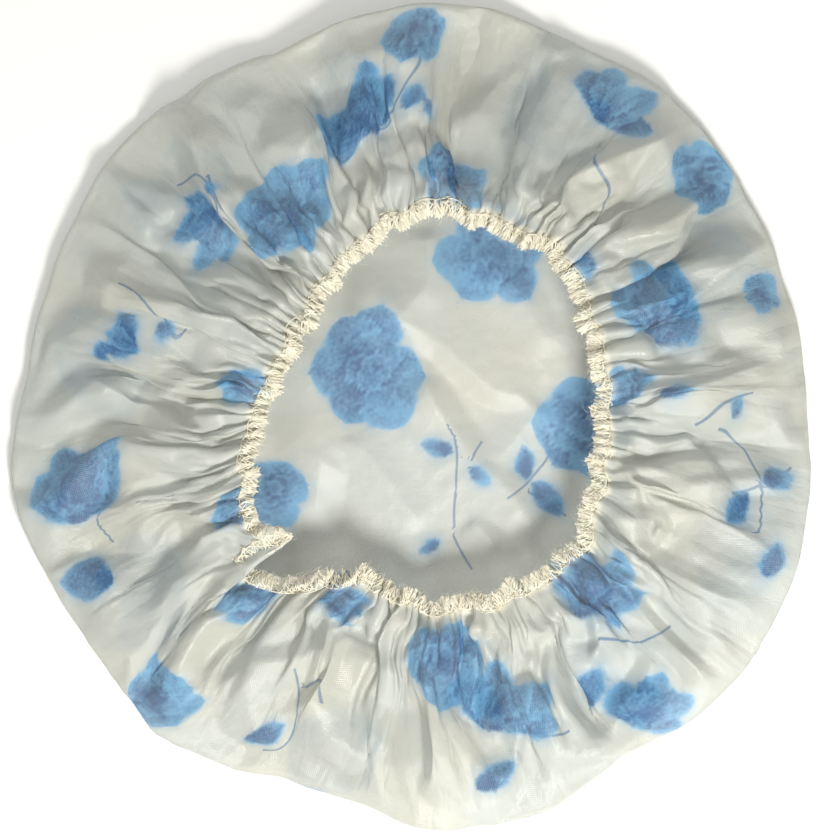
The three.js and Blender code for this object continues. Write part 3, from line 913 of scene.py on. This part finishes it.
# middle, and the places that the stem runs through, in mm from it
STEMS = {
    "skirt": (
        ((0, 110), ((-12, -8), (-4, -4), (2, 6), (4, 14))), ((-75, 80), ((8, -10), (2, 2), (-13, 0))),
        ((-68, 80), ((2, -4), (-3, 5))), ((72, 76), ((-2, -12), (0, 0), (1, 12))),
        ((-92, 34), ((-10, 10), (0, 2), (8, -8), (14, -10))), ((-108, -42), ((0, 8), (-2, 0), (2, -7))),
        ((118, -14), ((-8, 12), (0, 4), (6, -10), (2, -18))), ((126, -28), ((-10, -2), (0, 0), (10, 4))),
        ((110, 2), ((-6, -4), (2, 0), (12, 4))), ((80, -84), ((-12, 4), (0, 2), (10, 6))),
        ((52, -110), ((-12, -4), (-4, -2), (6, 0))),
        ((-44, -104), ((-10, -16), (0, -10), (3, 4), (2, 16))), ((-29, -95), ((-5, -1), (0, 2), (2, -4))),
    ),
    "crown": (
        ((17, -20), ((-3, 16), (0, 7), (-0.5, -5), (-1, -18))),
        ((22, -14), ((3, 4), (1.5, 1.5), (0.5, -0.5))), ((17, -46), ((-1, 3), (1.5, -2), (4.5, -7))),
        ((42, -22), ((-6, -6), (0, -1), (5, 5), (10, 14))), ((48, -30), ((-5, 3), (0, 0), (6, -4))),
    ),
}
for layer, stems in STEMS.items():
    for place, points in stems:
        draw_stem(*print_here(layer, *place), points)
seed = 0
for layer, motifs in MOTIFS.items():
    for kind, place, size, turn in motifs:
        kind(*print_here(layer, *place), size * PRINT_SCALE[layer], turn, seed)
        seed += 1

for name, values in (
    ("inked", inked), ("tone", tone), ("stem_side", stem_side), ("stem_gap", stem_gap),
    ("vein_along", vein_along), ("vein_aside", vein_aside), ("from_edge", (CUT - rho) / MM),
):
    sheet_mesh.attributes.new(name, "FLOAT", "POINT").data.foreach_set("value", values.astype(np.float32))

# the finish: off-white film with a satin face and a fine weave, thin enough to let light and print through
FILM_COLOUR = (0.65, 0.65, 0.575, 1.0)
FILM_COOL = (0.61, 0.64, 0.605, 1.0)
HEM_CREAM = (0.86, 0.82, 0.68, 1.0)
INK_PALE = (0.16, 0.44, 0.72, 1.0)
INK_DARK = (0.001, 0.080, 0.265, 1.0)
STEM_COLOUR = (0.075, 0.190, 0.350, 1.0)
WEAVE = 0.9  # mm from one yarn of the weave to the next
PRINT_EDGE = (-1.1, 1.3)  # mm inside the print: the ink begins, and is full
HALO = (-4.5, 0.5, 0.0, 0.26)  # a pale wash: mm inside the print where it begins and is full, its strengths
INK_RANGE = (-0.1, 1.05)  # tones that are all pale, and all dark
STEM_EDGE = (0.2, 0.65)  # mm to the side of a stem: it begins to fade, and ends
STEM_END = (1.5, 1.8)  # mm beyond its end, the same
HEM_STRIP = 6.5  # mm of the cut's edge that the overlock covers
RIM = 190.0  # mm, where facets are as wide as they are made
CRINKLE = 9.0  # mm, width of the skirt's facets
CRINKLE_BEGINS = (125.0, 165.0)  # mm from the middle of the cut: they begin, and are full
FINE_CRINKLE = 6.0  # mm, width of the facets all over
FINE_CRINKLE_HEIGHT = 0.22
WEAVE_HEIGHT = 0.04
FILM_GLOSS = 0.8
INK_GLOSS = 0.35
THROUGH = 0.16  # share of the light that shines through the film
CLEAR = 0.26  # share of what lies behind that is seen through it

film_finish, nodes, wires, shader = new_finish("printed_film")


def put(made, **inputs):
    """Puts values or other nodes' outputs into a node."""
    for key, value in inputs.items():
        key = int(key[1:]) if key[0] == "_" else key.replace("_", " ")
        if isinstance(value, bpy.types.NodeSocket):
            wires.new(value, made.inputs[key])
        else:
            made.inputs[key].default_value = value


def node(kind, settings=None, output=0, **inputs):
    """An output of a new node of this material, with its settings and with what is put in."""
    made = nodes.new("ShaderNode" + kind)
    for key, value in (settings or {}).items():
        setattr(made, key, value)
    put(made, **inputs)
    return made.outputs[output]


def sums(operation, *values):
    return node("Math", {"operation": operation}, **{f"_{n}": value for n, value in enumerate(values)})


def vector_sums(operation, output=0, **inputs):
    return node("VectorMath", {"operation": operation}, output, **inputs)


def attribute(name):
    return node("Attribute", {"attribute_name": name}, "Fac")


def graded(value, low, high, to_low=0.0, to_high=1.0):
    """A value brought smoothly from one range to another."""
    return node(
        "MapRange", {"interpolation_type": "SMOOTHSTEP"}, Value=value,
        From_Min=low, From_Max=high, To_Min=to_low, To_Max=to_high,
    )


def blended(part, first, second):
    """A colour between two others."""
    return node("Mix", {"data_type": "RGBA"}, 2, _0=part, _6=first, _7=second)


def noise(where, scale, detail, roughness=0.5):
    return node("TexNoise", Vector=where, Scale=scale, Detail=detail, Roughness=roughness)


def relief(strength, depth, height):
    return node("Bump", Strength=strength, Distance=depth, Height=height)


cut_uv = node("UVMap", {"uv_map": "OFBake"})
from_middle = vector_sums("SUBTRACT", _0=cut_uv, _1=(0.5, 0.5, 0.0))
in_mm = vector_sums("SCALE", _0=from_middle, Scale=MAP_WIDTH / MM)
out_mm = vector_sums("LENGTH", "Value", _0=in_mm)
at_hem = graded(attribute("from_edge"), HEM_STRIP - 1.0, HEM_STRIP + 2.0, 1.0, 0.0)


def speckle(size, detail=3.0, roughness=0.55, where=None):
    """Noise over the flat cut with spots of about a size in mm."""
    return noise(where or in_mm, 1 / size, detail, roughness)


def spread_about(value, size):
    """Noise brought from 0..1 to a range of a size about zero."""
    return sums("MULTIPLY_ADD", value, 2.0 * size, -size)


ragged = sums("ADD", spread_about(speckle(2.2), 0.8), spread_about(speckle(6.5), 1.5))
edge = sums("ADD", attribute("inked"), ragged)
in_print = graded(edge, *PRINT_EDGE)
halo = graded(edge, *HALO)
along_petal = node(
    "CombineXYZ", X=sums("MULTIPLY", attribute("vein_aside"), 1.1),
    Y=sums("MULTIPLY", attribute("vein_along"), 0.13),
)
veins = spread_about(speckle(1.0, 2.0, 0.5, along_petal), 0.20)
wash = spread_about(speckle(9.0, 3.0, 0.5), 0.60)
dabs = spread_about(speckle(1.3, 2.0), 0.42)
ink_depth = sums("ADD", sums("ADD", attribute("tone"), wash), sums("ADD", dabs, veins))
ink = blended(graded(ink_depth, *INK_RANGE), INK_PALE, INK_DARK)
on_stem = sums(
    "MULTIPLY",
    graded(sums("ABSOLUTE", attribute("stem_side")), *STEM_EDGE, 1.0, 0.0),
    graded(attribute("stem_gap"), *STEM_END, 1.0, 0.0),
)
film_tint = blended(graded(speckle(60.0, 2.0), 0.35, 0.65), FILM_COLOUR, FILM_COOL)
haloed = blended(halo, film_tint, INK_PALE)
stemmed = blended(sums("MULTIPLY", on_stem, 0.75), haloed, STEM_COLOUR)

yarns = [node("SeparateXYZ", None, axis, Vector=in_mm) for axis in (0, 1)]
weave = sums("MULTIPLY", *[sums("SINE", sums("MULTIPLY", yarn, TAU / WEAVE)) for yarn in yarns])
# painted highlight: the tops of the weave's yarns are painted paler over the ink, as satin glints on the
# yarns
painted_yarn_glints = graded(sums("ADD", weave, spread_about(speckle(14.0), 0.8)), 0.2, 1.1, 0.0, 0.28)
printed = blended(sums("MULTIPLY", in_print, 0.95), stemmed, blended(painted_yarn_glints, ink, film_tint))
colour = blended(sums("MULTIPLY", at_hem, graded(in_print, 0.0, 1.0, 0.7, 0.3)), printed, HEM_CREAM)

# heights in mm: the weave, and small flat facets that are stronger on the skirt than on the crown


def facet_height(distance, where, size):
    """Height over facets of about a size in mm."""
    settings = {"feature": "F1", "distance": distance}
    return node("TexVoronoi", settings, Vector=where, Scale=1 / size)


on_rim = vector_sums("SCALE", _0=vector_sums("NORMALIZE", _0=in_mm), Scale=RIM)
along_spoke = node("CombineXYZ", Z=sums("MULTIPLY", out_mm, 0.3))
drawn_out = vector_sums("ADD", _0=on_rim, _1=along_spoke)
crinkle = sums(
    "MULTIPLY", facet_height("CHEBYCHEV", drawn_out, CRINKLE), graded(out_mm, *CRINKLE_BEGINS, 0.0, 1.0)
)
fine_crinkle = sums("MULTIPLY", facet_height("MANHATTAN", in_mm, FINE_CRINKLE), FINE_CRINKLE_HEIGHT)
height = sums("MULTIPLY_ADD", weave, WEAVE_HEIGHT, sums("ADD", crinkle, fine_crinkle))
facing_light = relief(1.0, MM, height)

put(
    shader, Base_Color=colour, Roughness=graded(speckle(12.0), 0.3, 0.7, 0.27, 0.40), Normal=facing_light,
    Specular_IOR_Level=graded(in_print, 0.0, 1.0, FILM_GLOSS, INK_GLOSS),
    Sheen_Weight=0.05, Sheen_Roughness=0.4,
)
glow = node("BsdfTranslucent", Color=colour, Normal=facing_light)
lit_through = node("MixShader", _0=THROUGH, _1=shader.outputs[0], _2=glow)
see_through = graded(at_hem, 0.0, 1.0, CLEAR, 0.0)
seen_through = node("MixShader", _0=see_through, _1=lit_through, _2=node("BsdfTransparent"))
put(nodes["Material Output"], Surface=seen_through)
sheet_mesh.materials.append(film_finish)

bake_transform(sheet)
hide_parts("cap_sheet")

# Elastic band
# A narrow woven elastic, laid under the sheet's edge and caught by the overlock all round. It has drawn up
# after sewing, so it is crimped along its length.
ELASTIC_WIDTH = 4 * MM
ELASTIC_THICKNESS = 1.0 * MM
ELASTIC_DEPTH = -1.7 * MM  # its middle, below the sheet's outer face
CRIMPS = ((150, 0.25 * MM), (61, 0.15 * MM))  # waves along it, and their half height
ELASTIC_SWAY = (37, 0.3 * MM)
ELASTIC_STEPS = 900
ELASTIC_COLOURS = ((0.82, 0.79, 0.68, 1.0), (0.72, 0.685, 0.56, 1.0))


def hem_place(turn, across, above):
    """A place on the hem: its turn round the mouth, how far from the edge, and how high over the sheet."""
    c, s = math.cos(HEM_SLOPE), math.sin(HEM_SLOPE)
    away = across * c - above * s
    height = edge_height_at(turn) + across * s + above * c
    return np.concatenate([edge_place(turn) + edge_out(turn) * away[..., None], height[..., None]], -1)


hem_cloth = np.nonzero(rho > CUT - HEM_HOLD)[0]
hem_tree = KDTree(len(hem_cloth))
for n, place in enumerate(lie[hem_cloth]):
    hem_tree.insert((place[0], place[1], 0), n)
hem_tree.balance()
THREAD_REACH = 0.6 * MM  # a thread lies on the highest cloth within this distance


def on_cloth(places, above):
    """The same places of a thread, brought to the crimped cloth of the hem and a little above it."""
    for place, over in zip(places, np.broadcast_to(above, len(places))):
        near = hem_tree.find_range((place[0], place[1], 0), THREAD_REACH)
        if near:
            place[2] = max(lie[hem_cloth[n], 2] for _, n, _ in near) + over
    return places


turns = np.arange(ELASTIC_STEPS) * TAU / ELASTIC_STEPS
(crimps, tall), (small_crimps, small) = CRIMPS
crimp = tall * np.sin(crimps * turns + 2 * np.sin(9 * turns)) + small * np.sin(small_crimps * turns)
sway = ELASTIC_SWAY[1] * np.sin(ELASTIC_SWAY[0] * turns + np.sin(5 * turns))
half_width = ELASTIC_WIDTH / 2
half_thickness = ELASTIC_THICKNESS / 2
# its section, in halves of its width and thickness; the upper half is the lower one turned over
LOWER_SIDE = [(-1, -0.5), (-0.85, -1), (-0.4, -0.85), (0, -1), (0.4, -0.85), (0.85, -1), (1, -0.5)]
SECTION = LOWER_SIDE + [(-u, -v) for u, v in LOWER_SIDE]
strands = [
    hem_place(turns, EDGE_INSET + u * half_width + sway, ELASTIC_DEPTH + v * half_thickness + crimp)
    for u, v in SECTION
]
elastic_points = np.stack(strands, 1).reshape(-1, 3)
sides = len(SECTION)
elastic_faces = [
    (
        k * sides + n,
        k * sides + (n + 1) % sides,
        (k + 1) % ELASTIC_STEPS * sides + (n + 1) % sides,
        (k + 1) % ELASTIC_STEPS * sides + n,
    )
    for k in range(ELASTIC_STEPS)
    for n in range(sides)
]
elastic = add_mesh("elastic_band_woven", elastic_points, elastic_faces)
make_active(elastic)
bpy.ops.object.mode_set(mode="EDIT")
bpy.ops.mesh.select_all(action="SELECT")
bpy.ops.mesh.normals_make_consistent(inside=False)
bpy.ops.object.mode_set(mode="OBJECT")
bpy.ops.object.shade_smooth()

elastic_finish, nodes, wires, shader = new_finish("woven_elastic")
at = node("TexCoord", None, "Object")
put(
    shader, Base_Color=blended(graded(noise(at, 90.0, 2.0), 0.3, 0.7), *ELASTIC_COLOURS), Roughness=0.85,
    Normal=relief(0.6, 0.2 * MM, noise(at, 1400.0, 3.0, 0.6)),
)
elastic.data.materials.append(elastic_finish)
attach(elastic, "hem")
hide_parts("elastic_band")

# Needle thread
# The straight line of the overlock: one spun cream thread in short stitches, through sheet and elastic, at
# the outer side of the looper threads.
THREAD = 0.42 * MM
THREAD_COLOURS = ((0.90, 0.87, 0.735, 1.0), (0.78, 0.73, 0.575, 1.0))
STITCHES = 250
STEPS_A_STITCH = 8
STITCH_HEIGHT = 0.12 * MM
NEEDLE_WANDER = (12, 0.4 * MM)  # the line wanders: steps from one turn to the next, and how far
HEM_WIDTH = 5.4 * MM  # from the edge to the needle line
HEM_ROLL = ((7, 0.5 * MM), (17, 0.5 * MM), (31, 0.35 * MM))  # the hem rolls: waves round it, half width

thread_finish, nodes, wires, shader = new_finish("spun_thread")
at = node("TexCoord", None, "Object")
put(
    shader, Base_Color=blended(graded(noise(at, 260.0, 3.0, 0.6), 0.35, 0.65), *THREAD_COLOURS),
    Roughness=0.8, Normal=relief(0.5, 0.1 * MM, noise(at, 3200.0, 2.0)), Sheen_Weight=0.4,
)


def thread_piece(name, runs, cad_node):
    """A thread along one or more runs of places, each with its thickness, made a mesh."""
    curve = bpy.data.curves.new(name, "CURVE")
    curve.dimensions = "3D"
    curve.bevel_depth = 0.5
    curve.bevel_resolution = 0
    curve.use_fill_caps = True
    for places, thickness in runs:
        spline = curve.splines.new("POLY")
        spline.points.add(len(places) - 1)
        spline.points.foreach_set("co", np.column_stack([places, np.ones(len(places))]).ravel())
        spline.points.foreach_set("radius", np.full(len(places), thickness))
    make_active(add_object(name, curve))
    bpy.ops.object.convert(target="MESH")
    piece = bpy.context.object
    bpy.ops.object.shade_smooth()
    piece.data.materials.append(thread_finish)
    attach(piece, "hem")
    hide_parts(cad_node)


steps = np.arange(STITCHES * STEPS_A_STITCH - 4)
turns = steps * TAU / (STITCHES * STEPS_A_STITCH)
swing = TAU * steps / STEPS_A_STITCH
draw = np.random.default_rng(41)
every, far = NEEDLE_WANDER
knots = np.arange(0, len(steps) + every, every)
wander = far * np.interp(steps, knots, draw.uniform(-1, 1, len(steps) // every + 2))
needle_run = hem_place(turns, HEM_WIDTH + wavering(HEM_ROLL, 8, turns) + wander, 0 * turns)
needle_run = on_cloth(needle_run, STITCH_HEIGHT * (1 + np.cos(swing)))
thread_piece("needle_thread_line", [(needle_run, THREAD)], "needle_thread")

# Upper looper thread
# The overlock's thread that runs to and fro over the sheet and turns round its edge. The drawn-up elastic
# crowds its loops into a knobbly cord, and its lint stands off it.
LOOPS = 400
LOOP_POINTS = 10
LOOP_WIDTHS = (0.55, 1.1)  # least and most, as shares of the loop as it is given
LOOP_HEIGHTS = (0.7, 1.5)
LOOP_LEAN = 1.7  # loops that it leans over at most
LINT = 0.06 * MM
UPPER_LINT = (2600, 63, 0.5, 1.5)  # fibres, seed, and lowest and highest start in mm over the sheet
# each run: seed, distances from the edge in mm as a loop goes round it and back, and height over the cloth
UPPER_LOOPS = (
    (61, (6.0, 4.2, 2.0, 0.2, -0.4, 0.4, 2.4, 4.6, 6.0), 0.12 * MM),
    (62, (5.0, 3.6, 1.6, 0.0, -0.5, 0.2, 2.0, 4.0, 5.0), 0.22 * MM),
    (64, (5.6, 3.0, 1.2, 0.1, -0.3, 0.8, 3.0, 4.4, 5.6), 0.30 * MM),
)


def looper_run(seed, across_line, height_line):
    """Loops round the hem: uneven in width, height and spacing, as crowded stitches are."""
    draw = np.random.default_rng(seed)
    steps = np.arange(LOOPS * LOOP_POINTS)
    loop = steps // LOOP_POINTS
    part = steps % LOOP_POINTS / LOOP_POINTS
    wide = draw.uniform(*LOOP_WIDTHS, LOOPS)[loop]
    high = draw.uniform(*LOOP_HEIGHTS, LOOPS)[loop]
    lean = draw.uniform(-LOOP_LEAN, LOOP_LEAN, LOOPS)[loop]
    line = np.array(across_line) * MM
    lift = np.array(height_line) * MM
    stops = np.linspace(0, 1, len(line))
    above = np.interp(part, stops, lift) * high
    turn = (loop + part + lean * np.sin(math.pi * part)) * TAU / LOOPS
    outer = HEM_WIDTH + wavering(HEM_ROLL, 8, turn)
    across = outer - (outer - np.interp(part, stops, line)) * wide
    return hem_place(turn, across, above)[:-LOOP_POINTS]


def lint_runs(count, seed, low, high):
    """Short fibres that stand off the hem."""
    draw = np.random.default_rng(seed)
    fibres = []
    for _ in range(count):
        turn = draw.uniform(0, TAU) + np.linspace(0, draw.uniform(-1, 1) * 0.03, 4)
        across = draw.uniform(-0.8, 6.5) * MM + np.linspace(0, draw.uniform(-2.0, 1.8), 4) * MM
        above = draw.uniform(low, high) * MM + np.sin(np.linspace(0, 2.6, 4)) * draw.uniform(0.1, 1.0) * MM
        fibres.append((hem_place(turn, across, above), LINT * draw.uniform(0.6, 1.2)))
    return fibres


upper_runs = [
    (on_cloth(looper_run(seed, line, np.zeros(len(line))), above), THREAD)
    for seed, line, above in UPPER_LOOPS
]
thread_piece("upper_looper_loops", upper_runs + lint_runs(*UPPER_LINT), "upper_looper_thread")

# Lower looper thread
# The overlock's thread that runs to and fro under the elastic and meets the upper one at the edge. Only its
# turns round the edge are seen from above.
LOWER_ACROSS = (6.4, 5.6, 3.0, 0.6, -0.8, 0.6, 3.2, 5.6, 6.4)
LOWER_LINT = (300, 73, -2.6, -1.5)
LOWER_HEIGHTS = (-0.5, -2.4, -2.8, -2.5, -1.2, -2.4, -2.8, -2.4, -0.5)
lower_runs = [(looper_run(71, LOWER_ACROSS, LOWER_HEIGHTS), THREAD)]
thread_piece("lower_looper_loops", lower_runs + lint_runs(*LOWER_LINT), "lower_looper_thread")

math.pi * np.mean((CUT * stretch(around)) ** 2)
